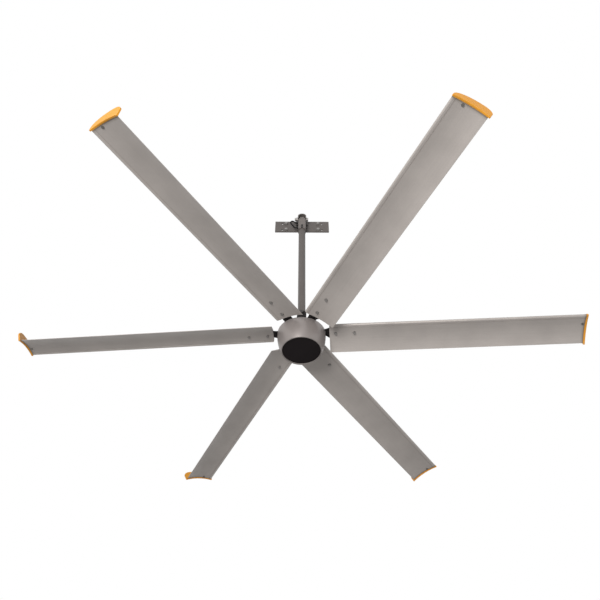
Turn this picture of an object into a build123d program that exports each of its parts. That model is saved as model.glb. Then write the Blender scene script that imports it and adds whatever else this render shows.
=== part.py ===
from build123d import *
from math import asin, cos, radians, sin, sqrt, tan
import os

# A six-blade industrial ceiling fan that hangs from the side of a beam.
# Millimetres, +Z up. The origin is the centre of the four mounting bolts on the back face of
# the mounting plate, and +Y points into the beam. The rod and rotor hang in front of the plate.

os.makedirs("parts", exist_ok=True)

# Shared clearances
through = 6.0
slide_gap = 0.1
bolt_gap = 0.25
seat_gap = 0.05
side_gap = 0.3

# Mounting plate and its bolts
plate_width = 350.0
plate_height = 110.0
plate_rise = 3.0
plate_thickness = 8.0
plate_corner = 3.0
stud_spacing_x = 208.0
stud_spacing_z = 64.0
stud_radius = 6.0
stud_shank_radius = 5.4
stud_reach = 10.0
stud_head_flats = 18.0
stud_head_height = 7.5
stud_washer_radius = 12.0
stud_washer_thickness = 2.5
spare_hole_spacing_x = 256.0
spare_hole_radius = 7.0

# Hanger bracket, an arched strap welded to the plate
rod_standoff = 45.0
arch_centre_rise = 35.0
arch_inner_radius = 20.0
arch_wall = 7.0
arch_reach_front = 25.0
arch_leg_drop = 20.0
arch_foot_width = 12.0
arch_foot_thickness = 6.0
arch_foot_height = 30.0
pivot_rise = 29.0

# Cross bolt that carries the rod
pivot_bolt_radius = 8.0
pivot_head_flats = 24.0
pivot_head_height = 10.0
pivot_nut_height = 13.0
pivot_washer_radius = 14.0
pivot_washer_thickness = 3.0
pivot_thread_spare = 5.0
spacer_radius = 11.5

# Hanger block, with a tongue on the cross bolt and a socket for the rod
tongue_thickness = 25.0
tongue_eye_radius = 18.0
bush_wall = 3.0
block_width = 48.0
block_top_rise = 10.0
block_bottom_drop = 96.0
block_corner = 8.0
block_shoulder = 6.0
socket_depth = 56.0
wire_way_radius = 7.0
block_bolt_radius = 4.0
block_bolt_flats = 13.0
block_bolt_head_height = 5.5
block_bolt_nut_height = 6.5
block_bolt_thread_spare = 2.0
block_bolt_low_share = 0.15
block_bolt_high_share = 0.5

# Supply lead that goes round outside the solid neck of the block
lead_diameter = 9.0
lead_corners = [(48.0, -58.0), (70.0, -18.0), (75.0, -2.0), (68.0, 10.0), (55.0, 10.0), (46.0, -8.0)]
lead_bend_share = 0.45
gland_flats = 20.0
gland_flange_height = 5.0
gland_dome_radius = 8.4
gland_dome_height = 9.0
gland_thread_radius = 8.0
gland_thread_length = 7.0
low_gland_drop = 58.0
high_gland_drop = 8.0
inlet_drop = 12.0
inlet_radius = 5.0
grommet_flange_radius = 7.5
grommet_flange_height = 2.0

# Down rod, a 42.4 mm pipe
rod_radius = 21.2
rod_wall = 3.2

# Rotor height and blades
hub_drop = 1035.0
blade_count = 6
rest_azimuth = -4.1
blade_tip_radius = 1489.0
blade_chord = 170.0
chord_front = 57.5
blade_pitch = 16.6
blade_droop = 0.63
nose_radius = 8.0
nose_rise = 2.5
camber_under = 8.0
section_height = 28.0
section_peak_chord = -5.0
camber_chord = 30.0
nose_end_angle = 35.0
tail_angle = 17.0
trailing_half_thickness = 1.2
skin_wall = 2.5
solid_tail = 38.0
hollow_tail_height = 1.6
spar_cell_half_width = 31.0
groove_from_nose = 18.0
groove_radius = 1.2
root_chamfer_chord = 20.0
root_chamfer_span = 6.0

# Blade arms
arm_thickness = 8.0
tongue_low = 11.0
arm_tongue_half_width = 30.0
arm_tongue_spare = 32.0
arm_neck_half_width = 23.0
arm_boss_gap = 12.0
arm_bowl_gap = 2.0
arm_twist_length = 18.5
arm_bolt_inner_inset = 16.0
arm_bolt_outer_inset = 14.0
pad_width = 3.0
pad_offset = 22.0

# Blade fasteners
blade_bolt_radius = 4.0
blade_bolt_flats = 13.0
blade_bolt_head_height = 5.5
blade_nut_height = 6.8
blade_washer_radius = 8.5
blade_washer_thickness = 1.8
blade_bolt_inset = 33.0
blade_bolt_spacing = 100.0
blade_thread_spare = 2.0
seat_margin = 0.6

# Winglets
winglet_flange = 6.0
winglet_offset = 2.0
winglet_thickness = 8.0
winglet_lean = 8.0
winglet_height = 54.0
winglet_front_drop = 9.0
winglet_tail_drop = 6.0
winglet_under_gap = 2.0
winglet_front_overhang = 2.5
winglet_rear_overhang = 13.0
winglet_tail_inset = 6.0
winglet_spigot_length = 38.0
winglet_edge = 1.5
winglet_corner = 3.0
winglet_top_shares = [(0.02, 0.2), (0.08, 0.45), (0.22, 0.72), (0.42, 0.92), (0.65, 1.0), (0.85, 0.96),
                      (0.96, 0.77), (1.0, 0.5)]
tip_screw_inset = 12.0
tip_screw_radius = 3.0
tip_screw_head_radius = 6.8
tip_screw_head_height = 3.3

# Rotor casing
cover_top_rise = 9.0
cover_thickness = 8.0
cover_bowl_gap = 9.5
cover_boss_radius = 38.0
cover_boss_height = 24.0
casing_ledge = 8.0
casing_wall = 8.0
casing_floor = 6.0
casing_depth = 80.0
casing_screw_radius = 2.5
casing_screw_head_radius = 4.5
casing_screw_head_height = 3.0
casing_screw_length = 22.0
casing_screw_spread = 9.0
lip_thickness = 3.0

# Bearings
bearing_bore_radius = 15.0
bearing_outer_radius = 31.0
bearing_width = 16.0
bearing_inner_wall = 5.0
bearing_outer_wall = 5.0
ball_radius = 4.0
ball_count = 9

# Shaft and stator
shaft_shoulder_radius = 20.0
shaft_bore_radius = 8.0
shaft_tail = 5.0
circlip_radius = 18.5
circlip_thickness = 1.8
circlip_groove = 1.0
carrier_share = 0.471
carrier_hole_share = 0.28
carrier_hole_count = 6
air_gap = 1.6
core_height = 50.0
core_centre_drop = 34.0
tooth_count = 18
tooth_width = 9.0
slot_root_share = 0.628
slot_end_share = 0.942
slot_mouth = 3.0
winding_share = 0.7
winding_overhang = 5.0
magnet_count = 20
magnet_thickness = 4.8
magnet_height = 56.0
magnet_fill_share = 0.84

# Yoke between the shaft and the rod
yoke_base_rise = 110.0
yoke_base_thickness = 8.0
yoke_cheek_thickness = 6.0
yoke_width = 52.0
yoke_height = 57.0
shaft_nut_height = 12.0
shaft_nut_flats = 40.0
rod_foot_gap = 6.0
yoke_bolt_radius = 6.0
yoke_bolt_flats = 18.0
yoke_bolt_head_height = 7.5
yoke_nut_height = 10.0
yoke_thread_spare = 3.0
yoke_bolt_rise = 43.0

# Bowl cover, its black cap and the standoffs that carry it
bowl_radius = 129.5
bowl_wall = 2.0
bowl_rim_rise = 5.0
bowl_belly_drop = 8.0
bowl_bottom_drop = 117.2
bowl_taper = 22.5
bowl_lip_crown = 0.8
cap_rim = 5.6
cap_thickness = 2.4
cap_crown = 0.9
cap_bevel = 5.0
cap_recess = 8.2
bowl_flange_width = 14.3
standoff_radius = 5.0
standoff_inset = 7.3
standoff_count = 6
bowl_screw_radius = 2.5
bowl_screw_head_radius = 4.2
bowl_screw_head_height = 1.6
bowl_screw_length = 9.0

# Radii that follow from the bowl outward to the blades
arm_twist_radius = bowl_radius + arm_bowl_gap
blade_root_radius = arm_twist_radius + arm_twist_length
blade_bolt_inner_radius = blade_root_radius + blade_bolt_inset
blade_bolt_outer_radius = blade_bolt_inner_radius + blade_bolt_spacing
arm_tongue_end_radius = blade_bolt_outer_radius + arm_tongue_spare

# Radii that follow from the bowl inward to the motor
bowl_mouth_radius = bowl_radius - bowl_taper
cap_radius = bowl_mouth_radius - cap_rim
bowl_flange_inner_radius = cap_radius - bowl_flange_width
standoff_circle_radius = cap_radius - standoff_inset
cover_radius = bowl_radius - bowl_wall - cover_bowl_gap
casing_radius = cover_radius - casing_ledge
casing_inner = casing_radius - casing_wall
arm_inner_radius = cover_boss_radius + arm_boss_gap
arm_bolt_inner_radius = arm_inner_radius + arm_bolt_inner_inset
arm_bolt_outer_radius = cover_radius - arm_bolt_outer_inset
core_radius = casing_inner - seat_gap - magnet_thickness - air_gap
slot_root_radius = slot_root_share * core_radius
slot_end_radius = slot_end_share * core_radius
carrier_radius = carrier_share * core_radius
carrier_hole_radius = carrier_hole_share * (carrier_radius - shaft_shoulder_radius)


def save(piece, name):
    """Label a finished part and write it to its own file."""
    piece.part.label = name
    export_step(piece.part, "parts/" + name + ".step")


def ring(plane, outer, inner, height):
    """Add a plain ring on a plane to the part that is being built."""
    with BuildSketch(plane) as face:
        Circle(outer)
        Circle(inner, mode=Mode.SUBTRACT)
    extrude(face.sketch, amount=height)


def disc(plane, radius, height, mode=Mode.ADD):
    """Add or cut a round bar on a plane in the part that is being built."""
    with BuildSketch(plane) as face:
        Circle(radius)
    extrude(face.sketch, amount=height, mode=mode)


def hexagon(plane, flats, height, bore=0.0):
    """Add a hexagon prism, with a bore where one is given."""
    with BuildSketch(plane) as face:
        RegularPolygon(radius=flats / 2, side_count=6, major_radius=False)
        if bore:
            Circle(bore, mode=Mode.SUBTRACT)
    extrude(face.sketch, amount=height)


def hex_bolt(seat, radius, flats, head_height, length):
    """Add a hex bolt: the head stands on the seat's +Z side and the shank runs along -Z."""
    hexagon(seat, flats, head_height)
    disc(seat, radius, -length)


def level(height, azimuth=0.0):
    """A horizontal plane on the rod's axis at a height, turned by an azimuth."""
    turn = radians(azimuth)
    return Plane(origin=(0, -rod_standoff, height), x_dir=(cos(turn), sin(turn), 0), z_dir=(0, 0, 1))


def cross_plane(offset, height):
    """A plane whose normal is +X, at an offset along X on the rod's axis."""
    return Plane(origin=(offset, -rod_standoff, height), x_dir=(0, 1, 0), z_dir=(1, 0, 0))


def front_plane(offset, height):
    """A plane whose normal is -Y, at an offset in front of the rod's axis."""
    return Plane(origin=(0, -rod_standoff - offset, height), x_dir=(1, 0, 0), z_dir=(0, -1, 0))


# Mounting plate
plate_back = Plane.XZ
with BuildPart() as mounting_plate:
    with BuildSketch(plate_back):
        with Locations((0, plate_rise)):
            RectangleRounded(plate_width, plate_height, plate_corner)
        with GridLocations(stud_spacing_x, stud_spacing_z, 2, 2):
            Circle(stud_radius + bolt_gap, mode=Mode.SUBTRACT)
        with GridLocations(spare_hole_spacing_x, stud_spacing_z, 2, 2):
            Circle(spare_hole_radius, mode=Mode.SUBTRACT)
    extrude(amount=plate_thickness)
save(mounting_plate, "mounting_plate")

# Mounting bolts, with a reduced shank in the plate, and their washers
plate_front = plate_back.offset(plate_thickness)
with BuildPart() as mounting_washers:
    with BuildSketch(plate_front):
        with GridLocations(stud_spacing_x, stud_spacing_z, 2, 2):
            Circle(stud_washer_radius)
            Circle(stud_radius + bolt_gap, mode=Mode.SUBTRACT)
    extrude(amount=stud_washer_thickness)
save(mounting_washers, "mounting_washers")

with BuildPart() as mounting_bolts:
    with BuildSketch(plate_front.offset(stud_washer_thickness)):
        with GridLocations(stud_spacing_x, stud_spacing_z, 2, 2):
            RegularPolygon(radius=stud_head_flats / 2, side_count=6, major_radius=False)
    extrude(amount=stud_head_height)
    with BuildSketch(plate_back):
        with GridLocations(stud_spacing_x, stud_spacing_z, 2, 2):
            Circle(stud_shank_radius)
    extrude(amount=plate_thickness + stud_washer_thickness)
    with BuildSketch(plate_back):
        with GridLocations(stud_spacing_x, stud_spacing_z, 2, 2):
            Circle(stud_radius)
    extrude(amount=-stud_reach)
save(mounting_bolts, "mounting_bolts")

# Hanger bracket: the strap's arch is drawn from the front and reaches back to the plate
arch_outer_radius = arch_inner_radius + arch_wall
arch_depth = rod_standoff + arch_reach_front - plate_thickness
with BuildPart() as hanger_bracket:
    with BuildSketch(Plane.XZ.offset(plate_thickness)):
        with Locations((0, arch_centre_rise)):
            Circle(arch_outer_radius)
        with Locations((0, arch_centre_rise - arch_leg_drop / 2)):
            Rectangle(2 * arch_outer_radius, arch_leg_drop)
        with Locations((0, arch_centre_rise - arch_leg_drop - arch_outer_radius / 2)):
            Rectangle(2 * arch_outer_radius, arch_outer_radius, mode=Mode.SUBTRACT)
        with Locations((0, arch_centre_rise)):
            Circle(arch_inner_radius, mode=Mode.SUBTRACT)
        with Locations((0, arch_centre_rise - arch_leg_drop / 2)):
            Rectangle(2 * arch_inner_radius, arch_leg_drop, mode=Mode.SUBTRACT)
    extrude(amount=arch_depth)
    with BuildSketch(Plane.XZ.offset(plate_thickness)):
        for side in (-1, 1):
            with Locations((side * (arch_outer_radius + arch_foot_width / 2), arch_centre_rise
                            - arch_leg_drop + arch_foot_height / 2)):
                Rectangle(arch_foot_width, arch_foot_height)
    extrude(amount=arch_foot_thickness)
    disc(cross_plane(-arch_outer_radius - through, pivot_rise), pivot_bolt_radius + bolt_gap,
         2 * (arch_outer_radius + through), mode=Mode.SUBTRACT)
save(hanger_bracket, "hanger_bracket")

# Cross bolt with its nut, washers and spacers
bolt_seat = arch_outer_radius + pivot_washer_thickness
with BuildPart() as hanger_bolt:
    hex_bolt(cross_plane(bolt_seat, pivot_rise), pivot_bolt_radius, pivot_head_flats, pivot_head_height,
             2 * bolt_seat + pivot_nut_height + pivot_thread_spare)
save(hanger_bolt, "hanger_bolt")

with BuildPart() as hanger_nut:
    hexagon(cross_plane(-bolt_seat, pivot_rise), pivot_head_flats, -pivot_nut_height,
            pivot_bolt_radius + seat_gap)
save(hanger_nut, "hanger_nut")

with BuildPart() as hanger_washers:
    ring(cross_plane(arch_outer_radius, pivot_rise), pivot_washer_radius,
         pivot_bolt_radius + bolt_gap, pivot_washer_thickness)
    ring(cross_plane(-arch_outer_radius, pivot_rise), pivot_washer_radius,
         pivot_bolt_radius + bolt_gap, -pivot_washer_thickness)
save(hanger_washers, "hanger_washers")

spacer_length = arch_inner_radius - tongue_thickness / 2 - side_gap
with BuildPart() as hanger_spacers:
    ring(cross_plane(arch_inner_radius, pivot_rise), spacer_radius,
         pivot_bolt_radius + bolt_gap, -spacer_length)
    ring(cross_plane(-arch_inner_radius, pivot_rise), spacer_radius,
         pivot_bolt_radius + bolt_gap, spacer_length)
    add(hanger_bracket.part, mode=Mode.SUBTRACT)
save(hanger_spacers, "hanger_spacers")

# Hanger block: a square block under the strap, with a round-topped tongue between its legs
bush_outer_radius = pivot_bolt_radius + slide_gap + bush_wall
block_height = block_top_rise + block_bottom_drop
rod_top = -block_bottom_drop + socket_depth
half_block = block_width / 2
with BuildPart() as hanger_block:
    with BuildSketch(level(-block_bottom_drop)):
        RectangleRounded(block_width, block_width, block_corner)
    extrude(amount=block_height)
    chamfer(hanger_block.faces().sort_by(Axis.Z)[-1].edges(), block_shoulder)
    with BuildSketch(cross_plane(-tongue_thickness / 2, 0)):
        with Locations((0, pivot_rise)):
            Circle(tongue_eye_radius)
        with Locations((0, pivot_rise / 2)):
            Rectangle(2 * tongue_eye_radius, pivot_rise)
    extrude(amount=tongue_thickness)
    disc(cross_plane(-tongue_thickness, pivot_rise), bush_outer_radius + seat_gap,
         2 * tongue_thickness, mode=Mode.SUBTRACT)
    disc(level(-block_bottom_drop), rod_radius + seat_gap, socket_depth, mode=Mode.SUBTRACT)
    disc(level(rod_top), wire_way_radius, -high_gland_drop - rod_top + wire_way_radius,
         mode=Mode.SUBTRACT)
    for drop in (low_gland_drop, high_gland_drop):
        disc(cross_plane(0, -drop), gland_thread_radius + seat_gap, -half_block - through,
             mode=Mode.SUBTRACT)
    disc(front_plane(0, -inlet_drop), inlet_radius + seat_gap, -half_block - through, mode=Mode.SUBTRACT)
    for share in (block_bolt_low_share, block_bolt_high_share):
        disc(front_plane(half_block + through, -block_bottom_drop + share * socket_depth),
             block_bolt_radius + bolt_gap, -block_width - 2 * through, mode=Mode.SUBTRACT)
save(hanger_block, "hanger_block")

with BuildPart() as hanger_bush:
    ring(cross_plane(-tongue_thickness / 2, pivot_rise), bush_outer_radius,
         pivot_bolt_radius + slide_gap, tongue_thickness)
save(hanger_bush, "hanger_bush")

with BuildPart() as block_bolts:
    for share in (block_bolt_low_share, block_bolt_high_share):
        hex_bolt(front_plane(half_block, -block_bottom_drop + share * socket_depth), block_bolt_radius,
                 block_bolt_flats, block_bolt_head_height,
                 block_width + block_bolt_nut_height + block_bolt_thread_spare)
save(block_bolts, "block_bolts")

with BuildPart() as block_nuts:
    for share in (block_bolt_low_share, block_bolt_high_share):
        hexagon(front_plane(-half_block, -block_bottom_drop + share * socket_depth), block_bolt_flats,
                -block_bolt_nut_height, block_bolt_radius + seat_gap)
save(block_nuts, "block_nuts")

# Supply lead, its two glands and the grommet of the supply inlet
with BuildPart() as lead_glands:
    for drop in (low_gland_drop, high_gland_drop):
        face = cross_plane(-half_block, -drop)
        hexagon(face, gland_flats, -gland_flange_height)
        disc(face.offset(-gland_flange_height), gland_dome_radius, -gland_dome_height)
        disc(face, gland_thread_radius, gland_thread_length)
        disc(face.offset(-gland_flange_height - gland_dome_height), lead_diameter / 2,
             gland_dome_height, mode=Mode.SUBTRACT)
save(lead_glands, "lead_glands")

gland_mouth = -half_block - gland_flange_height - gland_dome_height
lead_start = gland_mouth + gland_dome_height
lead_points = [Vector(lead_start, -rod_standoff, -low_gland_drop)]
for out_reach, rise in lead_corners:
    lead_points.append(Vector(-out_reach, -rod_standoff, rise))
lead_points.append(Vector(lead_start, -rod_standoff, -high_gland_drop))
lead_runs = [(after - before).length for before, after in zip(lead_points, lead_points[1:])]
lead_radii = []
for i in range(1, len(lead_points) - 1):
    turn = (lead_points[i] - lead_points[i - 1]).get_angle(lead_points[i + 1] - lead_points[i])
    lead_radii.append(lead_bend_share * min(lead_runs[i - 1], lead_runs[i]) / tan(radians(turn) / 2))
print("lead radii", [round(radius, 1) for radius in lead_radii])
with BuildPart() as supply_lead:
    with BuildLine() as lead_line:
        FilletPolyline(*lead_points, radius=lead_radii)
    with BuildSketch(Plane(origin=lead_points[0], z_dir=lead_points[1] - lead_points[0])):
        Circle(lead_diameter / 2 - seat_gap)
    sweep()
lead_length = sum(edge.length for edge in lead_line.line.edges())
lead_section = supply_lead.part.volume / lead_length / (lead_diameter / 2 - seat_gap) ** 2
print("lead length", round(lead_length, 1), "section over radius squared", round(lead_section, 4))
save(supply_lead, "supply_lead")

with BuildPart() as inlet_grommet:
    back_face = front_plane(-half_block, -inlet_drop)
    ring(back_face, grommet_flange_radius, inlet_radius / 2, -grommet_flange_height)
    ring(back_face, inlet_radius, inlet_radius / 2, half_block - wire_way_radius)
save(inlet_grommet, "inlet_grommet")

# Heights of the stack between the rod's foot and the rotor
hub_level = -hub_drop
cover_top = hub_level + cover_top_rise
cover_bottom = cover_top - cover_thickness
casing_bottom = cover_bottom - casing_depth
yoke_bottom = hub_level + yoke_base_rise
yoke_floor = yoke_bottom + yoke_base_thickness
shaft_top = yoke_floor + shaft_nut_height
rod_foot = shaft_top + rod_foot_gap
upper_bearing_bottom = cover_top + cover_boss_height - bearing_width - lip_thickness
lower_bearing_bottom = casing_bottom + lip_thickness

# Down rod
with BuildPart() as downrod:
    with BuildSketch(level(rod_foot)):
        Circle(rod_radius)
        Circle(rod_radius - rod_wall, mode=Mode.SUBTRACT)
    extrude(amount=rod_top - rod_foot)
    disc(cross_plane(0, -low_gland_drop), gland_thread_radius + seat_gap, -rod_radius - through,
         mode=Mode.SUBTRACT)
    for share in (block_bolt_low_share, block_bolt_high_share):
        disc(front_plane(rod_radius + through, -block_bottom_drop + share * socket_depth),
             block_bolt_radius + bolt_gap, -2 * (rod_radius + through), mode=Mode.SUBTRACT)
    disc(front_plane(rod_radius + through, yoke_bottom + yoke_bolt_rise), yoke_bolt_radius + bolt_gap,
         -2 * (rod_radius + through), mode=Mode.SUBTRACT)
save(downrod, "downrod")

# Motor yoke: a base plate on the shaft and two round-topped cheeks on the rod's foot
cheek_inner = rod_radius + seat_gap
cheek_outer = cheek_inner + yoke_cheek_thickness
with BuildPart() as motor_yoke:
    with BuildSketch(level(yoke_bottom)):
        RectangleRounded(yoke_width, 2 * cheek_outer, block_corner)
        Circle(bearing_bore_radius + seat_gap, mode=Mode.SUBTRACT)
    extrude(amount=yoke_base_thickness)
    for front in (-cheek_outer, cheek_inner):
        with BuildSketch(front_plane(front, yoke_bottom)) as cheek_face:
            with Locations((0, (yoke_height - yoke_width / 2) / 2)):
                Rectangle(yoke_width, yoke_height - yoke_width / 2)
            with Locations((0, yoke_height - yoke_width / 2)):
                Circle(yoke_width / 2)
        extrude(cheek_face.sketch, amount=yoke_cheek_thickness)
    disc(front_plane(cheek_outer + through, yoke_bottom + yoke_bolt_rise), yoke_bolt_radius + bolt_gap,
         -2 * (cheek_outer + through), mode=Mode.SUBTRACT)
save(motor_yoke, "motor_yoke")

with BuildPart() as yoke_bolt:
    hex_bolt(front_plane(cheek_outer, yoke_bottom + yoke_bolt_rise), yoke_bolt_radius, yoke_bolt_flats,
             yoke_bolt_head_height, 2 * cheek_outer + yoke_nut_height + yoke_thread_spare)
save(yoke_bolt, "yoke_bolt")

with BuildPart() as yoke_nut:
    hexagon(front_plane(-cheek_outer, yoke_bottom + yoke_bolt_rise), yoke_bolt_flats, -yoke_nut_height,
            yoke_bolt_radius + seat_gap)
save(yoke_nut, "yoke_nut")

# Motor shaft, hollow for the motor lead, with its nuts and circlip
shoulder_low = lower_bearing_bottom + bearing_width
shoulder_high = upper_bearing_bottom
shaft_bottom = lower_bearing_bottom - shaft_tail
with BuildPart() as motor_shaft:
    disc(level(shaft_bottom), bearing_bore_radius, shaft_top - shaft_bottom)
    disc(level(shoulder_low), shaft_shoulder_radius, shoulder_high - shoulder_low)
    disc(level(shaft_bottom + circlip_groove), shaft_bore_radius, shaft_top - shaft_bottom,
         mode=Mode.SUBTRACT)
    with BuildSketch(level(lower_bearing_bottom - circlip_thickness)) as groove_face:
        Circle(bearing_bore_radius + circlip_groove)
        Circle(bearing_bore_radius - circlip_groove, mode=Mode.SUBTRACT)
    extrude(groove_face.sketch, amount=circlip_thickness, mode=Mode.SUBTRACT)
save(motor_shaft, "motor_shaft")

with BuildPart() as shaft_circlip:
    ring(level(lower_bearing_bottom - circlip_thickness + seat_gap), circlip_radius,
         bearing_bore_radius - circlip_groove + seat_gap, circlip_thickness - 2 * seat_gap)
save(shaft_circlip, "shaft_circlip")

with BuildPart() as shaft_nuts:
    hexagon(level(yoke_floor), shaft_nut_flats, shaft_nut_height, bearing_bore_radius + seat_gap)
    hexagon(level(yoke_bottom), shaft_nut_flats, -shaft_nut_height, bearing_bore_radius + seat_gap)
save(shaft_nuts, "shaft_nuts")

# Stator carrier, laminated core and windings
core_centre = hub_level - core_centre_drop
core_bottom = core_centre - core_height / 2
with BuildPart() as stator_carrier:
    with BuildSketch(level(core_bottom)):
        Circle(carrier_radius)
        Circle(shaft_shoulder_radius + seat_gap, mode=Mode.SUBTRACT)
        with PolarLocations((carrier_radius + shaft_shoulder_radius) / 2, carrier_hole_count):
            Circle(carrier_hole_radius, mode=Mode.SUBTRACT)
    extrude(amount=core_height)
save(stator_carrier, "stator_carrier")

tooth_pitch = 360 / tooth_count
half_pitch = radians(tooth_pitch / 2)
slot_root_half = slot_root_radius * sin(half_pitch) - tooth_width / 2
slot_end_half = slot_end_radius * sin(half_pitch) - tooth_width / 2
with BuildPart() as stator_core:
    with BuildSketch(level(core_bottom)):
        Circle(core_radius)
        Circle(carrier_radius + seat_gap, mode=Mode.SUBTRACT)
        with PolarLocations(0, tooth_count, start_angle=tooth_pitch / 2):
            Polygon((slot_root_radius, -slot_root_half), (slot_end_radius, -slot_end_half),
                    (slot_end_radius, slot_end_half), (slot_root_radius, slot_root_half),
                    align=None, mode=Mode.SUBTRACT)
        with PolarLocations((slot_end_radius + core_radius) / 2, tooth_count, start_angle=tooth_pitch / 2):
            Rectangle(core_radius - slot_end_radius + through, slot_mouth, mode=Mode.SUBTRACT)
    extrude(amount=core_height)
save(stator_core, "stator_core")

winding_inner = slot_root_radius + side_gap
winding_outer = slot_end_radius - side_gap
winding_inner_half = tooth_width / 2 + side_gap
winding_thickness = winding_share * slot_root_half
winding_height = core_height + 2 * (winding_overhang + side_gap)
with BuildPart() as stator_windings:
    with BuildSketch(level(core_centre - winding_height / 2)):
        with PolarLocations((winding_inner + winding_outer) / 2, tooth_count):
            Rectangle(winding_outer - winding_inner, 2 * (winding_inner_half + winding_thickness))
    extrude(amount=winding_height)
    with BuildSketch(level(core_bottom - side_gap)):
        with PolarLocations((winding_inner + winding_outer) / 2, tooth_count):
            Rectangle(winding_outer - winding_inner + 2 * side_gap, 2 * winding_inner_half)
    extrude(amount=core_height + 2 * side_gap, mode=Mode.SUBTRACT)
save(stator_windings, "stator_windings")

# Bearings, one in the cover's boss and one in the floor of the casing
ball_circle_radius = (bearing_bore_radius + bearing_outer_radius) / 2
bearing_bottoms = (lower_bearing_bottom, upper_bearing_bottom)


def race_cut(bottom):
    """Cut the ball groove of one bearing from the ring that is being built."""
    with BuildSketch(Plane(origin=(0, -rod_standoff, bottom + bearing_width / 2), x_dir=(1, 0, 0),
                           z_dir=(0, -1, 0))) as groove:
        with Locations((ball_circle_radius, 0)):
            Circle(ball_radius + seat_gap)
    revolve(groove.sketch, axis=Axis((0, -rod_standoff, 0), (0, 0, 1)), mode=Mode.SUBTRACT)


with BuildPart() as bearing_inner_rings:
    for bottom in bearing_bottoms:
        ring(level(bottom), bearing_bore_radius + bearing_inner_wall, bearing_bore_radius + seat_gap,
             bearing_width)
    for bottom in bearing_bottoms:
        race_cut(bottom)
save(bearing_inner_rings, "bearing_inner_rings")

with BuildPart() as bearing_outer_rings:
    for bottom in bearing_bottoms:
        ring(level(bottom), bearing_outer_radius, bearing_outer_radius - bearing_outer_wall, bearing_width)
    for bottom in bearing_bottoms:
        race_cut(bottom)
save(bearing_outer_rings, "bearing_outer_rings")

with BuildPart() as bearing_balls:
    for bottom in bearing_bottoms:
        with Locations(level(bottom + bearing_width / 2)):
            with PolarLocations(ball_circle_radius, ball_count):
                Sphere(ball_radius)
save(bearing_balls, "bearing_balls")

# Rotor casing, a cup that carries the magnets round the stator
arm_azimuths = [rest_azimuth + i * 360 / blade_count for i in range(blade_count)]
casing_screw_points = []
for azimuth in arm_azimuths:
    for side in (-1, 1):
        turn = radians(azimuth + 180 / blade_count + side * casing_screw_spread)
        screw_circle = casing_radius - casing_wall / 2
        casing_screw_points.append((screw_circle * cos(turn), screw_circle * sin(turn)))
boss_wall = cover_boss_radius - bearing_outer_radius
with BuildPart() as rotor_casing:
    disc(level(casing_bottom), casing_radius, casing_depth)
    disc(level(casing_bottom + casing_floor), casing_inner, casing_depth, mode=Mode.SUBTRACT)
    disc(level(casing_bottom), cover_boss_radius, lip_thickness + bearing_width)
    disc(level(lower_bearing_bottom), bearing_outer_radius + seat_gap, bearing_width, mode=Mode.SUBTRACT)
    disc(level(casing_bottom - through), bearing_outer_radius - boss_wall,
         lip_thickness + 2 * through, mode=Mode.SUBTRACT)
    with BuildSketch(level(cover_bottom)) as screw_holes:
        with Locations(*casing_screw_points):
            Circle(casing_screw_radius + seat_gap)
    extrude(screw_holes.sketch, amount=-casing_screw_length, mode=Mode.SUBTRACT)
    with BuildSketch(level(casing_bottom)) as standoff_holes:
        with PolarLocations(standoff_circle_radius, standoff_count):
            Circle(bowl_screw_radius + seat_gap)
    extrude(standoff_holes.sketch, amount=casing_floor, mode=Mode.SUBTRACT)
save(rotor_casing, "rotor_casing")

magnet_outer = casing_inner - seat_gap
magnet_angle = magnet_fill_share * 360 / magnet_count
with BuildPart() as rotor_magnets:
    with BuildSketch(Plane(origin=(0, -rod_standoff, core_centre - magnet_height / 2), x_dir=(1, 0, 0),
                           z_dir=(0, -1, 0))) as magnet_face:
        with Locations((magnet_outer - magnet_thickness / 2, magnet_height / 2)):
            Rectangle(magnet_thickness, magnet_height)
    for i in range(magnet_count):
        turned = magnet_face.sketch.rotate(Axis((0, -rod_standoff, 0), (0, 0, 1)), i * 360 / magnet_count)
        revolve(turned, axis=Axis((0, -rod_standoff, 0), (0, 0, 1)), revolution_arc=magnet_angle)
save(rotor_magnets, "rotor_magnets")

# Rotor cover, which closes the casing and carries the blade arms
with BuildPart() as rotor_cover:
    disc(level(cover_bottom), cover_radius, cover_thickness)
    disc(level(cover_top), cover_boss_radius, cover_boss_height)
    disc(level(cover_bottom - through), bearing_outer_radius + seat_gap,
         upper_bearing_bottom + bearing_width - cover_bottom + through, mode=Mode.SUBTRACT)
    disc(level(cover_top), bearing_outer_radius - boss_wall, cover_boss_height + through,
         mode=Mode.SUBTRACT)
    with BuildSketch(level(cover_bottom)) as cover_holes:
        with Locations(*casing_screw_points):
            Circle(casing_screw_radius + bolt_gap)
    extrude(cover_holes.sketch, amount=cover_thickness, mode=Mode.SUBTRACT)
    for azimuth in arm_azimuths:
        with BuildSketch(level(cover_bottom, azimuth)) as arm_holes:
            with Locations((arm_bolt_inner_radius, 0), (arm_bolt_outer_radius, 0)):
                Circle(blade_bolt_radius + seat_gap)
        extrude(arm_holes.sketch, amount=cover_thickness, mode=Mode.SUBTRACT)
save(rotor_cover, "rotor_cover")

with BuildPart() as casing_screws:
    with BuildSketch(level(cover_top)) as screw_heads:
        with Locations(*casing_screw_points):
            Circle(casing_screw_head_radius)
    extrude(screw_heads.sketch, amount=casing_screw_head_height)
    with BuildSketch(level(cover_top)) as screw_shanks:
        with Locations(*casing_screw_points):
            Circle(casing_screw_radius)
    extrude(screw_shanks.sketch, amount=-casing_screw_length)
save(casing_screws, "casing_screws")

# Directions of a blade and the planes on it
hub_centre = Vector(0, -rod_standoff, hub_level)


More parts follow.
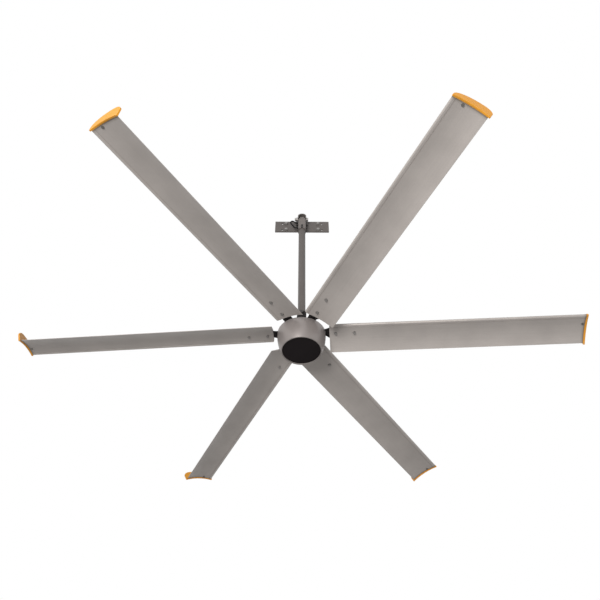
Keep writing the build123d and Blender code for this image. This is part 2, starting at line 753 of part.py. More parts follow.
def blade_directions(azimuth):
    """The outward, chord and upward directions of a blade, drooped and pitched."""
    turn, droop, pitch = radians(azimuth), radians(blade_droop), radians(blade_pitch)
    radial = Vector(cos(turn), sin(turn), 0)
    tangent = Vector(-sin(turn), cos(turn), 0)
    upright = Vector(0, 0, 1)
    outward = radial * cos(droop) - upright * sin(droop)
    lift = upright * cos(droop) + radial * sin(droop)
    return outward, tangent * cos(pitch) - lift * sin(pitch), tangent * sin(pitch) + lift * cos(pitch)


def section_plane(azimuth, radius):
    """The plane across a blade at a radius, x along the chord and y up from it."""
    outward, chordwise, upward = blade_directions(azimuth)
    return Plane(origin=hub_centre + outward * radius, x_dir=chordwise, z_dir=outward)


def bolt_plane(azimuth, radius, height):
    """The plane at a height over a blade's chord line, with its normal up from the blade."""
    outward, chordwise, upward = blade_directions(azimuth)
    return Plane(origin=hub_centre + outward * radius + upward * height, x_dir=chordwise, z_dir=upward)


def arm_plane(azimuth, radius):
    """The upright plane across the flat of an arm, at the middle of its thickness."""
    turn = radians(azimuth)
    return Plane(origin=(radius * cos(turn), radius * sin(turn) - rod_standoff,
                         cover_top + arm_thickness / 2),
                 x_dir=(-sin(turn), cos(turn), 0), z_dir=(cos(turn), sin(turn), 0))


# Blade arms: a flat on the rotor cover, a twisted neck and a tongue inside the blade
root_bolt_radii = (blade_bolt_inner_radius, blade_bolt_outer_radius)
tongue_middle = tongue_low + arm_thickness / 2
for i, azimuth in enumerate(arm_azimuths):
    with BuildPart() as blade_arm:
        with BuildSketch(arm_plane(azimuth, arm_inner_radius)):
            Rectangle(2 * arm_neck_half_width, arm_thickness)
        extrude(amount=arm_twist_radius - arm_inner_radius)
        with BuildSketch(arm_plane(azimuth, arm_twist_radius)):
            Rectangle(2 * arm_neck_half_width, arm_thickness)
        with BuildSketch(section_plane(azimuth, blade_root_radius)):
            with Locations((0, tongue_middle)):
                Rectangle(2 * arm_tongue_half_width, arm_thickness)
        loft(ruled=True)
        with BuildSketch(section_plane(azimuth, blade_root_radius)):
            with Locations((0, tongue_middle)):
                Rectangle(2 * arm_tongue_half_width, arm_thickness)
        extrude(amount=arm_tongue_end_radius - blade_root_radius)
        for radius in root_bolt_radii:
            disc(bolt_plane(azimuth, radius, 0), blade_bolt_radius + bolt_gap, section_height,
                 mode=Mode.SUBTRACT)
        with BuildSketch(level(cover_top, azimuth)) as flat_holes:
            with Locations((arm_bolt_inner_radius, 0), (arm_bolt_outer_radius, 0)):
                Circle(blade_bolt_radius + bolt_gap)
        extrude(flat_holes.sketch, amount=arm_thickness, mode=Mode.SUBTRACT)
    save(blade_arm, "blade_arm_" + str(i + 1))

# Arm bolts, which are threaded into the rotor cover
with BuildPart() as arm_bolts:
    for azimuth in arm_azimuths:
        for radius in (arm_bolt_inner_radius, arm_bolt_outer_radius):
            turn = radians(azimuth)
            seat = Plane(origin=(radius * cos(turn), radius * sin(turn) - rod_standoff,
                                 cover_top + arm_thickness), x_dir=(1, 0, 0), z_dir=(0, 0, 1))
            hex_bolt(seat, blade_bolt_radius, blade_bolt_flats, blade_bolt_head_height,
                     arm_thickness + cover_thickness - side_gap)
save(arm_bolts, "arm_bolts")

# Blade section: round nose, hollow underside and full upper side
nose_chord = nose_radius - chord_front
tail_chord = blade_chord - chord_front
nose_bottom = (nose_chord, nose_rise - nose_radius)
nose_end = (nose_chord - nose_radius * sin(radians(nose_end_angle)),
            nose_rise + nose_radius * cos(radians(nose_end_angle)))
tail_bottom = (tail_chord, -trailing_half_thickness)
tail_top = (tail_chord, trailing_half_thickness)
under_arc = ThreePointArc(nose_bottom, (camber_chord, camber_under), tail_bottom)


def under_height(chord_place):
    """Height of the blade's underside over the chord line at a place along the chord."""
    centre = under_arc.arc_center
    return centre.Y + sqrt(under_arc.radius ** 2 - (chord_place - centre.X) ** 2)


with BuildSketch() as full_outline:
    with BuildLine():
        ThreePointArc(nose_bottom, (camber_chord, camber_under), tail_bottom)
        Line(tail_bottom, tail_top)
        Spline(tail_top, (section_peak_chord, section_height), nose_end,
               tangents=[(-cos(radians(tail_angle)), sin(radians(tail_angle))),
                         (-cos(radians(nose_end_angle)), -sin(radians(nose_end_angle)))])
        ThreePointArc(nose_end, (-chord_front, nose_rise), nose_bottom)
    make_face()

hollow_nose = nose_radius - skin_wall
hollow_nose_end = (nose_chord - hollow_nose * sin(radians(nose_end_angle)),
                   nose_rise + hollow_nose * cos(radians(nose_end_angle)))
hollow_tail_chord = tail_chord - solid_tail
hollow_tail_low = under_height(hollow_tail_chord) + skin_wall
with BuildSketch() as blade_hollow:
    with BuildLine():
        ThreePointArc((nose_chord, nose_rise - hollow_nose), (camber_chord, camber_under + skin_wall),
                      (hollow_tail_chord, hollow_tail_low))
        Line((hollow_tail_chord, hollow_tail_low), (hollow_tail_chord, hollow_tail_low + hollow_tail_height))
        Spline((hollow_tail_chord, hollow_tail_low + hollow_tail_height),
               (section_peak_chord, section_height - skin_wall), hollow_nose_end,
               tangents=[(-cos(radians(tail_angle)), sin(radians(tail_angle))),
                         (-cos(radians(nose_end_angle)), -sin(radians(nose_end_angle)))])
        ThreePointArc(hollow_nose_end, (nose_chord - hollow_nose, nose_rise),
                      (nose_chord, nose_rise - hollow_nose))
    make_face()
    for side in (-1, 1):
        with Locations((side * (spar_cell_half_width + skin_wall / 2), section_height / 2)):
            Rectangle(skin_wall, 2 * section_height, mode=Mode.SUBTRACT)
        with Locations((side * pad_offset, tongue_low - slide_gap - section_height / 2)):
            Rectangle(pad_width, section_height, mode=Mode.SUBTRACT)
        with Locations((side * pad_offset, tongue_low + arm_thickness + slide_gap + section_height / 2)):
            Rectangle(pad_width, section_height, mode=Mode.SUBTRACT)

groove_chord = groove_from_nose - chord_front
with BuildSketch() as blade_outline:
    add(full_outline.sketch)
    with Locations((groove_chord, under_height(groove_chord))):
        Circle(groove_radius, mode=Mode.SUBTRACT)

# Blades
blade_length = blade_tip_radius - blade_root_radius
under_seat = under_height(0) + seat_margin
top_seat = section_height - seat_margin
tip_screw_place = blade_tip_radius - tip_screw_inset
chamfer_overrun_share = 0.3
chamfer_in = Vector(root_chamfer_chord - chord_front, 0)
chamfer_out = Vector(-chord_front, -root_chamfer_span)
chamfer_start = chamfer_in + (chamfer_in - chamfer_out) * chamfer_overrun_share
chamfer_stop = chamfer_out - (chamfer_in - chamfer_out) * chamfer_overrun_share
for i, azimuth in enumerate(arm_azimuths):
    root_plane = section_plane(azimuth, blade_root_radius)
    with BuildPart() as blade:
        with BuildSketch(root_plane):
            add(blade_outline.sketch)
        extrude(amount=blade_length)
        with BuildSketch(root_plane):
            add(blade_hollow.sketch)
        extrude(amount=blade_length, mode=Mode.SUBTRACT)
        with BuildSketch(bolt_plane(azimuth, blade_root_radius, -section_height)):
            Polygon((chamfer_start.X, chamfer_start.Y), (chamfer_stop.X, chamfer_start.Y),
                    (chamfer_stop.X, chamfer_stop.Y), align=None)
        extrude(amount=3 * section_height, mode=Mode.SUBTRACT)
        for radius in root_bolt_radii:
            disc(bolt_plane(azimuth, radius, -section_height), blade_bolt_radius + bolt_gap,
                 3 * section_height, mode=Mode.SUBTRACT)
            disc(bolt_plane(azimuth, radius, under_seat), blade_washer_radius + seat_margin,
                 -section_height, mode=Mode.SUBTRACT)
            disc(bolt_plane(azimuth, radius, top_seat), blade_washer_radius + seat_margin,
                 section_height, mode=Mode.SUBTRACT)
        disc(bolt_plane(azimuth, tip_screw_place, -section_height), tip_screw_radius + bolt_gap,
             section_height + tongue_low, mode=Mode.SUBTRACT)
        disc(bolt_plane(azimuth, tip_screw_place, under_seat), tip_screw_head_radius + seat_margin,
             -section_height, mode=Mode.SUBTRACT)
    save(blade, "blade_" + str(i + 1))

# Blade bolts with the head under the blade, and their nuts and washers
with BuildPart() as blade_bolts:
    for azimuth in arm_azimuths:
        for radius in root_bolt_radii:
            seat = bolt_plane(azimuth, radius, under_seat - blade_washer_thickness)
            hexagon(seat, blade_bolt_flats, -blade_bolt_head_height)
            disc(seat, blade_bolt_radius, top_seat - under_seat + 2 * blade_washer_thickness
                 + blade_nut_height + blade_thread_spare)
save(blade_bolts, "blade_bolts")

with BuildPart() as blade_nuts:
    for azimuth in arm_azimuths:
        for radius in root_bolt_radii:
            hexagon(bolt_plane(azimuth, radius, top_seat + blade_washer_thickness), blade_bolt_flats,
                    blade_nut_height, blade_bolt_radius + seat_gap)
save(blade_nuts, "blade_nuts")

with BuildPart() as blade_washers:
    for azimuth in arm_azimuths:
        for radius in root_bolt_radii:
            ring(bolt_plane(azimuth, radius, under_seat), blade_washer_radius,
                 blade_bolt_radius + bolt_gap, -blade_washer_thickness)
            ring(bolt_plane(azimuth, radius, top_seat), blade_washer_radius,
                 blade_bolt_radius + bolt_gap, blade_washer_thickness)
save(blade_washers, "blade_washers")

# Winglets: a fin that leans outward, a flange on the blade's end and a spigot inside it
winglet_start = -chord_front - winglet_front_overhang
winglet_span = blade_chord + winglet_front_overhang + winglet_rear_overhang
with BuildSketch() as fin_outline:
    front_corner = (winglet_start, -winglet_front_drop)
    tail_corner = (winglet_start + winglet_span - winglet_tail_inset, -winglet_tail_drop)
    top_line = [(winglet_start + along * winglet_span, up * winglet_height)
                for along, up in winglet_top_shares]
    with BuildLine():
        Spline(front_corner, *top_line)
        Line(top_line[-1], tail_corner)
        ThreePointArc(tail_corner, (camber_chord, camber_under - winglet_under_gap), front_corner)
    make_face()
    fillet(fin_outline.vertices(), winglet_corner)


def fin_plane(azimuth):
    """The inner face of a winglet's fin, leaning outward from the blade's end."""
    outward, chordwise, upward = blade_directions(azimuth)
    lean = radians(winglet_lean)
    return Plane(origin=hub_centre + outward * (blade_tip_radius + winglet_offset), x_dir=chordwise,
                 z_dir=outward * cos(lean) - upward * sin(lean))


for i, azimuth in enumerate(arm_azimuths):
    tip_plane = section_plane(azimuth, blade_tip_radius)
    outer_direction = Axis((0, 0, 0), tuple(fin_plane(azimuth).z_dir))
    with BuildPart() as winglet:
        with BuildSketch(fin_plane(azimuth)):
            add(fin_outline.sketch)
        extrude(amount=winglet_thickness)
        fillet(winglet.faces().sort_by(outer_direction)[-1].edges(), winglet_edge)
        with BuildSketch(tip_plane):
            add(full_outline.sketch)
        extrude(amount=winglet_flange)
        with BuildSketch(tip_plane):
            with Locations((0, tongue_middle)):
                Rectangle(2 * arm_tongue_half_width, arm_thickness)
        extrude(amount=-winglet_spigot_length)
        disc(bolt_plane(azimuth, tip_screw_place, tongue_low), tip_screw_radius + seat_gap,
             arm_thickness, mode=Mode.SUBTRACT)
    save(winglet, "winglet_" + str(i + 1))

with BuildPart() as tip_screws:
    for azimuth in arm_azimuths:
        seat = bolt_plane(azimuth, tip_screw_place, under_seat)
        disc(seat, tip_screw_head_radius, -tip_screw_head_height)
        disc(seat, tip_screw_radius, tongue_low + arm_thickness - under_seat)
save(tip_screws, "tip_screws")

# Bowl cover: a straight rim, a curved belly, a rounded lip round the cap and a screwed flange
belly_depth = bowl_bottom_drop - bowl_belly_drop
belly_inset = bowl_radius - bowl_mouth_radius
belly_curve = (belly_depth ** 2 + belly_inset ** 2) / (2 * belly_inset)
belly_centre = bowl_radius - belly_curve
flange_low = cap_recess - bowl_bottom_drop
flange_top = flange_low + bowl_wall
flange_depth = -flange_top - bowl_belly_drop
half_turn = asin(belly_depth / belly_curve) / 2
inner_curve = belly_curve - bowl_wall
inner_half_turn = asin(flange_depth / inner_curve) / 2
lip_middle = (cap_radius + side_gap + bowl_mouth_radius) / 2
bowl_section = Plane(origin=(0, -rod_standoff, hub_level), x_dir=(1, 0, 0), z_dir=(0, -1, 0))
rotor_axis = Axis((0, -rod_standoff, 0), (0, 0, 1))
with BuildPart() as bowl_cover:
    with BuildSketch(bowl_section):
        with BuildLine():
            Polyline((bowl_radius, -bowl_belly_drop), (bowl_radius, bowl_rim_rise),
                     (bowl_radius - bowl_wall, bowl_rim_rise), (bowl_radius - bowl_wall, -bowl_belly_drop))
            ThreePointArc((bowl_radius - bowl_wall, -bowl_belly_drop),
                          (belly_centre + inner_curve * cos(inner_half_turn),
                           -bowl_belly_drop - inner_curve * sin(inner_half_turn)),
                          (belly_centre + inner_curve * cos(2 * inner_half_turn), flange_top))
            Polyline((belly_centre + inner_curve * cos(2 * inner_half_turn), flange_top),
                     (bowl_flange_inner_radius, flange_top), (bowl_flange_inner_radius, flange_low),
                     (cap_radius + side_gap, flange_low), (cap_radius + side_gap, -bowl_bottom_drop))
            ThreePointArc((cap_radius + side_gap, -bowl_bottom_drop),
                          (lip_middle, -bowl_bottom_drop - bowl_lip_crown),
                          (bowl_mouth_radius, -bowl_bottom_drop))
            ThreePointArc((bowl_mouth_radius, -bowl_bottom_drop),
                          (belly_centre + belly_curve * cos(half_turn),
                           -bowl_belly_drop - belly_curve * sin(half_turn)),
                          (bowl_radius, -bowl_belly_drop))
        make_face()
    revolve(axis=rotor_axis)
    with BuildSketch(level(hub_level + flange_low)) as flange_holes:
        with PolarLocations(standoff_circle_radius, standoff_count):
            Circle(bowl_screw_radius + bolt_gap)
    extrude(flange_holes.sketch, amount=bowl_wall, mode=Mode.SUBTRACT)
save(bowl_cover, "bowl_cover")

# Standoffs between the casing's floor and the bowl's flange, and the bowl's screws
standoff_length = casing_bottom - hub_level - flange_top
with BuildPart() as bowl_standoffs:
    with BuildSketch(level(casing_bottom)) as standoff_bodies:
        with PolarLocations(standoff_circle_radius, standoff_count):
            Circle(standoff_radius)
    extrude(standoff_bodies.sketch, amount=-standoff_length)
    with BuildSketch(level(casing_bottom)) as standoff_studs:
        with PolarLocations(standoff_circle_radius, standoff_count):
            Circle(bowl_screw_radius)
    extrude(standoff_studs.sketch, amount=casing_floor)
    with BuildSketch(level(hub_level + flange_top)) as standoff_threads:
        with PolarLocations(standoff_circle_radius, standoff_count):
            Circle(bowl_screw_radius + seat_gap)
    extrude(standoff_threads.sketch, amount=bowl_screw_length, mode=Mode.SUBTRACT)
save(bowl_standoffs, "bowl_standoffs")

with BuildPart() as bowl_screws:
    with BuildSketch(level(hub_level + flange_low)) as bowl_screw_heads:
        with PolarLocations(standoff_circle_radius, standoff_count):
            Circle(bowl_screw_head_radius)
    extrude(bowl_screw_heads.sketch, amount=-bowl_screw_head_height)
    with BuildSketch(level(hub_level + flange_low)) as bowl_screw_shanks:
        with PolarLocations(standoff_circle_radius, standoff_count):
            Circle(bowl_screw_radius)
    extrude(bowl_screw_shanks.sketch, amount=bowl_screw_length)
save(bowl_screws, "bowl_screws")

# End cap, a shallow black disc with a groove over the screw heads
cap_low = flange_low - cap_thickness
groove_half_width = bowl_screw_head_radius + side_gap
with BuildPart() as end_cap:
    with BuildSketch(bowl_section):
        with BuildLine():
            Polyline((0, cap_low - cap_crown), (0, flange_low), (cap_radius, flange_low),
                     (cap_radius, cap_low), (cap_radius - cap_bevel, cap_low - cap_crown),
                     (0, cap_low - cap_crown))
        make_face()
    revolve(axis=rotor_axis)
    with BuildSketch(level(hub_level + flange_low)) as cap_groove:
        Circle(standoff_circle_radius + groove_half_width)
        Circle(standoff_circle_radius - groove_half_width, mode=Mode.SUBTRACT)
    extrude(cap_groove.sketch, amount=-bowl_screw_head_height - seat_gap, mode=Mode.SUBTRACT)
save(end_cap, "end_cap")
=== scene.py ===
import math
import bpy
from mathutils import Matrix, Vector

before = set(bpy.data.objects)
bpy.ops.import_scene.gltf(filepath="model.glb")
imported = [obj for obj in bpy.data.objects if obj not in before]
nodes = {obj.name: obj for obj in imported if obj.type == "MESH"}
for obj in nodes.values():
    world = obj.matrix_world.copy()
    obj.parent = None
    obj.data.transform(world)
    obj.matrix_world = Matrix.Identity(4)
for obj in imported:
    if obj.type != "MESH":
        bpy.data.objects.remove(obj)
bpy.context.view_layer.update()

# Camera at the photograph's viewing angle, under the fan and in front of it
image_width = 600
focal_pixels = 676.4
camera_place = Vector((0.0, -2.6178, -3.5999))
yaw = math.radians(-0.213)
pitch = math.radians(47.889)
roll = math.radians(0.411)
forward = Vector((math.sin(yaw) * math.cos(pitch), math.cos(yaw) * math.cos(pitch), math.sin(pitch)))
level_right = Vector((math.cos(yaw), -math.sin(yaw), 0.0))
level_up = level_right.cross(forward)
right = level_right * math.cos(roll) + level_up * math.sin(roll)
up = level_up * math.cos(roll) - level_right * math.sin(roll)
camera_data = bpy.data.cameras.new("camera")
camera_data.sensor_width = 36.0
camera_data.lens = camera_data.sensor_width * focal_pixels / image_width
camera_data.clip_end = 60.0
camera = bpy.data.objects.new("camera", camera_data)
camera.matrix_world = Matrix((
    (right.x, up.x, -forward.x, camera_place.x),
    (right.y, up.y, -forward.y, camera_place.y),
    (right.z, up.z, -forward.z, camera_place.z),
    (0.0, 0.0, 0.0, 1.0)))
bpy.context.scene.collection.objects.link(camera)
bpy.context.scene.camera = camera


# Node helpers
def new_material(name, metallic=0.0, specular=0.5, coat=0.0):
    """A material with its shader's constant values set, and the shader itself."""
    material = bpy.data.materials.new(name)
    material.use_nodes = True
    shader = material.node_tree.nodes["Principled BSDF"]
    shader.inputs["Metallic"].default_value = metallic
    shader.inputs["Specular IOR Level"].default_value = specular
    shader.inputs["Coat Weight"].default_value = coat
    return material, shader


def place(material, turn=0.0, centre=(0.0, 0.0, 0.0), scale=(1.0, 1.0, 1.0)):
    """Object coordinates about a centre, turned about Z and stretched."""
    tree = material.node_tree
    coordinates = tree.nodes.new("ShaderNodeTexCoord")
    shift = tree.nodes.new("ShaderNodeMapping")
    shift.inputs["Location"].default_value = [-value for value in centre]
    turned = tree.nodes.new("ShaderNodeMapping")
    turned.inputs["Rotation"].default_value = (0.0, 0.0, turn)
    stretched = tree.nodes.new("ShaderNodeMapping")
    stretched.inputs["Scale"].default_value = scale
    tree.links.new(coordinates.outputs["Object"], shift.inputs["Vector"])
    tree.links.new(shift.outputs["Vector"], turned.inputs["Vector"])
    tree.links.new(turned.outputs["Vector"], stretched.inputs["Vector"])
    return stretched.outputs["Vector"]


def noise(material, vector, scale, detail=3.0, roughness=0.55):
    """A noise field's grey output."""
    node = material.node_tree.nodes.new("ShaderNodeTexNoise")
    node.inputs["Scale"].default_value = scale
    node.inputs["Detail"].default_value = detail
    node.inputs["Roughness"].default_value = roughness
    material.node_tree.links.new(vector, node.inputs["Vector"])
    return node.outputs["Fac"]


def ramp(material, factor, stops):
    """Colours along a factor, from a list of places and colours."""
    node = material.node_tree.nodes.new("ShaderNodeValToRGB")
    while len(node.color_ramp.elements) < len(stops):
        node.color_ramp.elements.new(0.5)
    for element, (position, colour) in zip(node.color_ramp.elements, stops):
        element.position = position
        element.color = (*colour, 1.0)
    material.node_tree.links.new(factor, node.inputs["Fac"])
    return node.outputs["Color"]


def spread(material, factor, low, high):
    """A noise factor, which keeps mostly to 0.3 to 0.7, spread between two values."""
    node = material.node_tree.nodes.new("ShaderNodeMapRange")
    node.inputs["From Min"].default_value = 0.3
    node.inputs["From Max"].default_value = 0.7
    node.inputs["To Min"].default_value = low
    node.inputs["To Max"].default_value = high
    material.node_tree.links.new(factor, node.inputs["Value"])
    return node.outputs["Result"]


def mix(material, factor, first, second, blend):
    """Two colour outputs blended by a number."""
    node = material.node_tree.nodes.new("ShaderNodeMix")
    node.data_type = "RGBA"
    node.blend_type = blend
    node.inputs[0].default_value = factor
    material.node_tree.links.new(first, node.inputs[6])
    material.node_tree.links.new(second, node.inputs[7])
    return node.outputs[2]


def relief(material, shader, height, strength, distance):
    """A bump from a height field on the shader's normal."""
    node = material.node_tree.nodes.new("ShaderNodeBump")
    node.inputs["Strength"].default_value = strength
    node.inputs["Distance"].default_value = distance
    material.node_tree.links.new(height, node.inputs["Height"])
    material.node_tree.links.new(node.outputs["Normal"], shader.inputs["Normal"])


def link(material, output, socket):
    """Link an output to a socket."""
    material.node_tree.links.new(output, socket)


def tint(colour, factor):
    """A colour made lighter or darker."""
    return tuple(min(1.0, channel * factor) for channel in colour)


def coated(name, colour, roughness, metallic=0.0, mottle=0.08, grain=900.0, depth=0.00006, coat=0.0,
           specular=0.5):
    """A painted, plated or moulded surface: soft mottling, fine grain and uneven gloss."""
    material, shader = new_material(name, metallic, specular, coat)
    vector = place(material)
    clouds = noise(material, vector, 7.0, 5.0)
    fine = noise(material, vector, grain, 2.0)
    cloud_colour = ramp(material, clouds, [(0.3, tint(colour, 1.0 - mottle)),
                                           (0.7, tint(colour, 1.0 + mottle))])
    grain_colour = ramp(material, fine, [(0.3, (0.46, 0.46, 0.46)), (0.7, (0.54, 0.54, 0.54))])
    surface = mix(material, 1.0, cloud_colour, grain_colour, "OVERLAY")
    gloss = spread(material, clouds, roughness - 0.05, roughness + 0.07)
    link(material, surface, shader.inputs["Base Color"])
    link(material, gloss, shader.inputs["Roughness"])
    relief(material, shader, fine, 0.25, depth)
    return material


def dress(material, *names):
    """Give a material to every slot of the named CAD nodes."""
    for name in names:
        slots = nodes[name].data.materials
        for index in range(len(slots)):
            slots[index] = material


# Blades: extruded aluminium with draw lines, a lighter nose band with a faint line behind it,
# a darker rear edge, and painted shade where the winglet meets the end
hub = (0.0, -0.045, -1.035)
blade_count = 6
rest_azimuth = -4.1
blade_end = 1.489
winglet_shade_width = 0.016
band_start = -0.07
band_end = 0.13
silver = (0.425, 0.395, 0.375)
for index in range(blade_count):
    azimuth = math.radians(rest_azimuth + 360.0 / blade_count * index)
    material, shader = new_material("blade_metal_" + str(index + 1), metallic=0.25, specular=0.3)
    along = place(material, -azimuth, hub, (1.2, 260.0, 260.0))
    flat = place(material, -azimuth, hub)
    lines = noise(material, along, 1.0, 4.0)
    clouds = noise(material, flat, 5.0, 4.0)
    specks = noise(material, flat, 160.0, 2.0, 0.7)
    base = ramp(material, clouds, [(0.3, tint(silver, 0.93)), (0.7, tint(silver, 1.07))])
    drawn = ramp(material, lines, [(0.3, (0.484, 0.484, 0.484)), (0.7, (0.516, 0.516, 0.516))])
    surface = mix(material, 1.0, base, drawn, "OVERLAY")
    dust = ramp(material, specks, [(0.62, (1.0, 1.0, 1.0)), (0.78, (0.82, 0.81, 0.8))])
    surface = mix(material, 0.6, surface, dust, "MULTIPLY")
    parts = material.node_tree.nodes.new("ShaderNodeSeparateXYZ")
    link(material, flat, parts.inputs["Vector"])
    across = material.node_tree.nodes.new("ShaderNodeMapRange")
    across.inputs["From Min"].default_value = band_start
    across.inputs["From Max"].default_value = band_end
    link(material, parts.outputs["Y"], across.inputs["Value"])
    bands = ramp(material, across.outputs["Result"], [
        (0.0, (1.0, 1.0, 1.0)), (0.155, (0.98, 0.98, 0.98)), (0.162, (0.8, 0.79, 0.78)),
        (0.172, (0.8, 0.79, 0.78)), (0.18, (0.94, 0.94, 0.94)), (0.35, (0.93, 0.93, 0.93)),
        (0.88, (1.0, 1.0, 1.0)), (0.905, (0.8, 0.8, 0.8))])
    surface = mix(material, 1.0, surface, bands, "MULTIPLY")
    # Painted shade: a dark band along the blade's end, standing in for the winglet's edge shading the
    # joint
    outward = material.node_tree.nodes.new("ShaderNodeMapRange")
    outward.inputs["From Min"].default_value = blade_end - winglet_shade_width
    outward.inputs["From Max"].default_value = blade_end
    link(material, parts.outputs["X"], outward.inputs["Value"])
    winglet_shade = ramp(material, outward.outputs["Result"], [
        (0.0, (1.0, 1.0, 1.0)), (0.55, (0.84, 0.83, 0.81)), (0.8, (0.5, 0.47, 0.42))])
    surface = mix(material, 1.0, surface, winglet_shade, "MULTIPLY")
    link(material, surface, shader.inputs["Base Color"])
    link(material, spread(material, lines, 0.39, 0.47), shader.inputs["Roughness"])
    relief(material, shader, lines, 0.06, 0.0001)
    dress(material, "blade_" + str(index + 1))

# Winglets: orange mouldings with a slight gloss
orange = coated("winglet_plastic", (0.66, 0.295, 0.028), 0.4, mottle=0.05, grain=600.0, coat=0.06,
                specular=0.3)
dress(orange, *["winglet_" + str(index + 1) for index in range(blade_count)])

# Rotor cover bowl and its cap
bowl_paint = coated("cover_paint", (0.262, 0.238, 0.23), 0.38, metallic=0.4, mottle=0.03,
                    grain=1400.0, specular=0.3)
dress(bowl_paint, "bowl_cover")
dress(coated("cap_plastic", (0.009, 0.0068, 0.0075), 0.6, mottle=0.2, grain=1200.0, specular=0.12),
      "end_cap")

# Hanger, plate and rod: grey paint; on the block a lighter copy of it, painted light for its shaded
# underside
hanger_paint = coated("hanger_paint", (0.125, 0.113, 0.107), 0.46, metallic=0.2, mottle=0.1, grain=700.0,
                      specular=0.3)
dress(hanger_paint, "mounting_plate", "hanger_bracket", "downrod")
# Painted light: the block's paint is the hanger paint made lighter, to brighten the block where it sits
# in shade
block_paint_painted_light = coated("block_paint_painted_light", (0.17, 0.154, 0.146), 0.46, metallic=0.2, mottle=0.1, grain=700.0,
                     specular=0.3)
dress(block_paint_painted_light, "hanger_block")

# Arms and yoke: black powder coat
arm_paint = coated("arm_paint", (0.008, 0.0062, 0.0062), 0.5, mottle=0.15, grain=1500.0, depth=0.0001,
                   specular=0.18)
dress(arm_paint, *["blade_arm_" + str(index + 1) for index in range(blade_count)], "motor_yoke")

# Fasteners, and the motor's shaft, bearings, castings, windings and magnets
zinc = coated("fastener_zinc", (0.3, 0.29, 0.28), 0.42, metallic=0.7, mottle=0.12, grain=500.0)
dress(zinc, "mounting_bolts", "mounting_washers", "hanger_bolt", "hanger_nut", "hanger_washers",
      "hanger_spacers", "shaft_nuts", "arm_bolts", "blade_bolts", "blade_nuts", "blade_washers",
      "casing_screws", "bowl_standoffs", "bowl_screws")
blackened = coated("fastener_black", (0.07, 0.066, 0.064), 0.4, metallic=0.6, mottle=0.15, grain=500.0)
dress(blackened, "block_bolts", "block_nuts", "yoke_bolt", "yoke_nut")
dress(coated("screw_steel", (0.17, 0.16, 0.15), 0.32, metallic=0.6, mottle=0.15, grain=500.0),
      "tip_screws")
shaft_steel = coated("shaft_steel", (0.52, 0.52, 0.52), 0.25, metallic=1.0, mottle=0.06, grain=300.0)
dress(shaft_steel, "motor_shaft", "shaft_circlip")
dress(coated("bearing_steel", (0.75, 0.75, 0.76), 0.12, metallic=1.0, mottle=0.03),
      "bearing_inner_rings", "bearing_outer_rings", "bearing_balls")
dress(coated("motor_casting", (0.42, 0.42, 0.42), 0.48, metallic=0.8, mottle=0.1, grain=400.0),
      "rotor_casing", "rotor_cover", "stator_carrier")
dress(coated("winding_copper", (0.6, 0.2, 0.08), 0.35, metallic=0.7, mottle=0.15), "stator_windings")
dress(coated("magnet_grey", (0.3, 0.3, 0.32), 0.3, metallic=0.9, mottle=0.08), "rotor_magnets")
dress(coated("bush_bronze", (0.55, 0.32, 0.12), 0.35, metallic=0.9, mottle=0.1), "hanger_bush")

# Stator core: stacked laminations
material, shader = new_material("core_steel", metallic=0.8)
layers = noise(material, place(material, scale=(1.0, 1.0, 1400.0)), 1.0, 2.0)
link(material, ramp(material, layers, [(0.35, (0.08, 0.08, 0.085)), (0.65, (0.28, 0.28, 0.29))]),
     shader.inputs["Base Color"])
link(material, spread(material, layers, 0.35, 0.6), shader.inputs["Roughness"])
relief(material, shader, layers, 0.4, 0.0002)
dress(material, "stator_core")

# Lead, glands and the inlet's grommet
dress(coated("lead_rubber", (0.007, 0.007, 0.007), 0.6, mottle=0.2, grain=800.0, specular=0.2),
      "supply_lead")
dress(coated("gland_plastic", (0.009, 0.009, 0.009), 0.5, mottle=0.15, grain=1000.0, specular=0.25),
      "lead_glands", "inlet_grommet")

# Plain pale floor, far below the fan, made paler for the camera alone
floor_mesh = bpy.data.meshes.new("floor")
reach = 40.0
floor_level = -7.2
floor_glow = 0.4
floor_mesh.from_pydata([(-reach, -reach, floor_level), (reach, -reach, floor_level),
                        (reach, reach, floor_level), (-reach, reach, floor_level)], [], [(0, 1, 2, 3)])
floor = bpy.data.objects.new("floor", floor_mesh)
bpy.context.scene.collection.objects.link(floor)
floor_material, floor_shader = new_material("floor_pale")
floor_noise = noise(floor_material, place(floor_material), 2.0, 2.0)
floor_colour = ramp(floor_material, floor_noise, [(0.3, (0.8, 0.8, 0.8)), (0.7, (0.83, 0.83, 0.83))])
link(floor_material, floor_colour, floor_shader.inputs["Base Color"])
floor_shader.inputs["Roughness"].default_value = 0.9
floor_shader.inputs["Emission Color"].default_value = (1.0, 1.0, 1.0, 1.0)
floor_path = floor_material.node_tree.nodes.new("ShaderNodeLightPath")
floor_white = floor_material.node_tree.nodes.new("ShaderNodeMath")
floor_white.operation = "MULTIPLY"
floor_white.inputs[1].default_value = floor_glow
link(floor_material, floor_path.outputs["Is Camera Ray"], floor_white.inputs[0])
link(floor_material, floor_white.outputs["Value"], floor_shader.inputs["Emission Strength"])
floor_mesh.materials.append(floor_material)

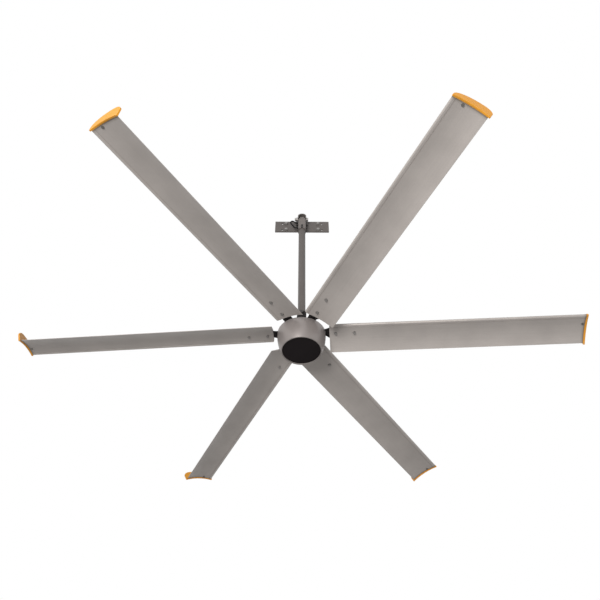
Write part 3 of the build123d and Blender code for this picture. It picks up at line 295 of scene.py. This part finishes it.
# World: an even soft light, and white where the camera and reflections look past the object
world = bpy.data.worlds.new("studio")
bpy.context.scene.world = world
world.use_nodes = True
tree = world.node_tree
tree.nodes.clear()
output = tree.nodes.new("ShaderNodeOutputWorld")
light = tree.nodes.new("ShaderNodeBackground")
light.inputs["Color"].default_value = (1.0, 0.985, 0.97, 1.0)
light.inputs["Strength"].default_value = 0.37
white = tree.nodes.new("ShaderNodeBackground")
white.inputs["Color"].default_value = (1.0, 1.0, 1.0, 1.0)
white.inputs["Strength"].default_value = 1.0
path = tree.nodes.new("ShaderNodeLightPath")
camera_or_glossy = tree.nodes.new("ShaderNodeMath")
camera_or_glossy.operation = "MAXIMUM"
any_ray = tree.nodes.new("ShaderNodeMath")
any_ray.operation = "MAXIMUM"
chooser = tree.nodes.new("ShaderNodeMixShader")
tree.links.new(path.outputs["Is Camera Ray"], camera_or_glossy.inputs[0])
tree.links.new(path.outputs["Is Glossy Ray"], camera_or_glossy.inputs[1])
tree.links.new(camera_or_glossy.outputs["Value"], any_ray.inputs[0])
tree.links.new(path.outputs["Is Transmission Ray"], any_ray.inputs[1])
tree.links.new(any_ray.outputs["Value"], chooser.inputs["Fac"])
tree.links.new(light.outputs["Background"], chooser.inputs[1])
tree.links.new(white.outputs["Background"], chooser.inputs[2])
tree.links.new(chooser.outputs["Shader"], output.inputs["Surface"])


# Lamps: a broad soft key from in front and below, a little left, and a weak fill from the right
def soft_lamp(name, position, target, size, power, colour):
    """A square area lamp aimed at a point."""
    data = bpy.data.lights.new(name, "AREA")
    data.shape = "SQUARE"
    data.size = size
    data.energy = power
    data.color = colour
    lamp = bpy.data.objects.new(name, data)
    lamp.location = position
    aim = Vector(target) - Vector(position)
    lamp.rotation_euler = aim.to_track_quat("-Z", "Y").to_euler()
    bpy.context.scene.collection.objects.link(lamp)


lit_point = (0.0, 0.0, -1.0)
soft_lamp("key", (-1.9, -6.0, -3.5), lit_point, 2.4, 455.0, (1.0, 0.975, 0.95))
soft_lamp("fill", (4.2, -1.5, -3.6), lit_point, 3.0, 20.0, (0.97, 0.98, 1.0))

bpy.context.scene.view_settings.view_transform = "Standard"
